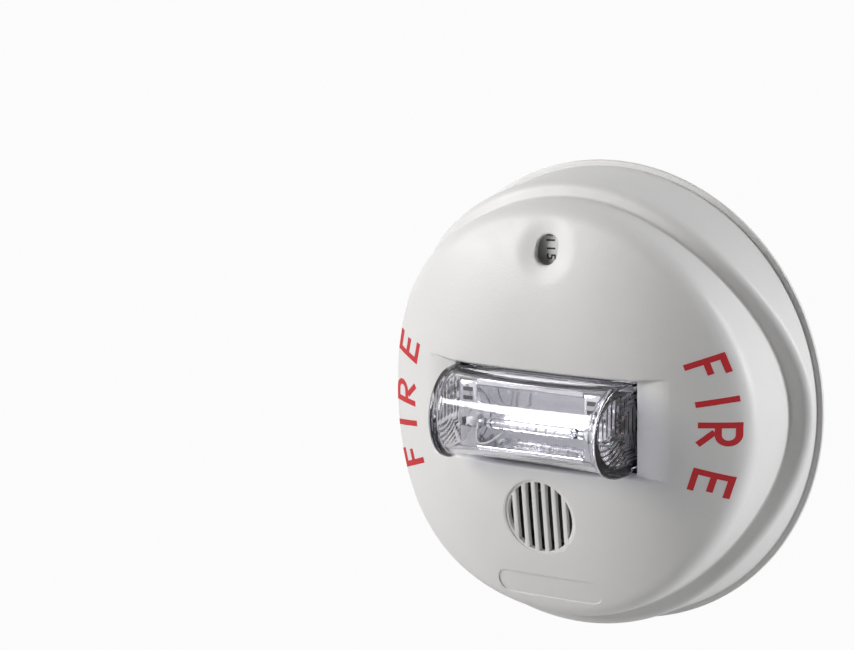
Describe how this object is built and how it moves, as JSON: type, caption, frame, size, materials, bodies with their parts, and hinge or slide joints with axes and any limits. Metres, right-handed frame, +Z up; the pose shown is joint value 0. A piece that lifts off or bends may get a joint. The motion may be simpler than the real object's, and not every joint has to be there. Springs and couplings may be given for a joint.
{
  "type": "fire alarm horn strobe",
  "caption": "Round wall-mounted fire alarm horn strobe: two-tier domed cover, clear bar lens with flash tube, round slotted sounder grille, candela window, twist-on wall plate.",
  "frame": {"origin": "centre of the wall plate's rear mounting face", "axes": "+Z up, the strobe faces -Y away from the wall, +X to the right seen from the front"},
  "size_m": [0.1728, 0.074, 0.1728],
  "materials": {
    "cover_plastic": "fine moulded grain, off-white",
    "clear_plastic": "clear polycarbonate with a faint violet edge tint",
    "tube_glass": "clear glass",
    "foam": "closed-cell foam",
    "mirror_metal": "vacuum-metallised plastic",
    "white_plastic": "plain moulded",
    "black_plastic": "plain moulded",
    "lead_insulation": "insulated wire",
    "steel": "zinc-plated",
    "brass": "plain",
    "board": "solder-masked glass epoxy",
    "capacitor_sleeve": "shrink sleeve",
    "winding": "enamelled copper wire",
    "ceramic_face": "fired ceramic"
  },
  "bodies": {
    "root": {"mounting_plate": "white_plastic", "terminal_block": "black_plastic", "terminal_screws": "steel", "terminal_clamps": "brass", "contact_sockets": "brass", "latch_spring": "steel"},
    "latch": {"lock_latch": "white_plastic"},
    "head": {"cover": "cover_plastic", "lens": "clear_plastic", "lens_gasket": "foam", "reflector": "mirror_metal", "reflector_carrier": "white_plastic", "flash_tube": "tube_glass", "tube_electrodes": "steel", "trigger_wire": "winding", "tube_leads": "lead_insulation", "circuit_board": "board", "board_screws": "steel", "storage_capacitor": "capacitor_sleeve", "trigger_transformer": "winding", "inductor": "winding", "driver_chips": "black_plastic", "contact_blades": "brass", "horn_chamber": "black_plastic", "horn_baffle": "black_plastic", "horn_gasket": "foam", "piezo_disc": "brass", "piezo_ceramic": "ceramic_face", "piezo_leads": "lead_insulation", "rear_housing": "black_plastic", "housing_screws": "steel", "selector_switch": "black_plastic", "tone_switch": "black_plastic", "volume_switch": "black_plastic"},
    "candela_selector": {"candela_dial": "white_plastic", "selector_shaft": "white_plastic"},
    "tone_selector": {"tone_slider": "white_plastic"},
    "volume_selector": {"volume_slider": "white_plastic"}
  },
  "joints": [
    {"name": "head_twist", "type": "hinge", "parent": "root", "child": "head", "pos_m": [0, 0, 0], "axis": [0, -1, 0], "range_deg": [0, 12]},
    {"name": "latch_press", "type": "slide", "parent": "root", "child": "latch", "axis": [0.6018, 0, -0.7986], "range_m": [0, 0.003], "stiffness_N_per_m": 800, "deforming": ["latch_spring"]},
    {"name": "candela_turn", "type": "hinge", "parent": "head", "child": "candela_selector", "pos_m": [0, -0.03, 0.0445], "axis": [0, -1, 0], "range_deg": [-72, 144]},
    {"name": "tone_slide", "type": "slide", "parent": "head", "child": "tone_selector", "axis": [1, 0, 0], "range_m": [0, 0.003]},
    {"name": "volume_slide", "type": "slide", "parent": "head", "child": "volume_selector", "axis": [1, 0, 0], "range_m": [0, 0.003]}
  ]
}
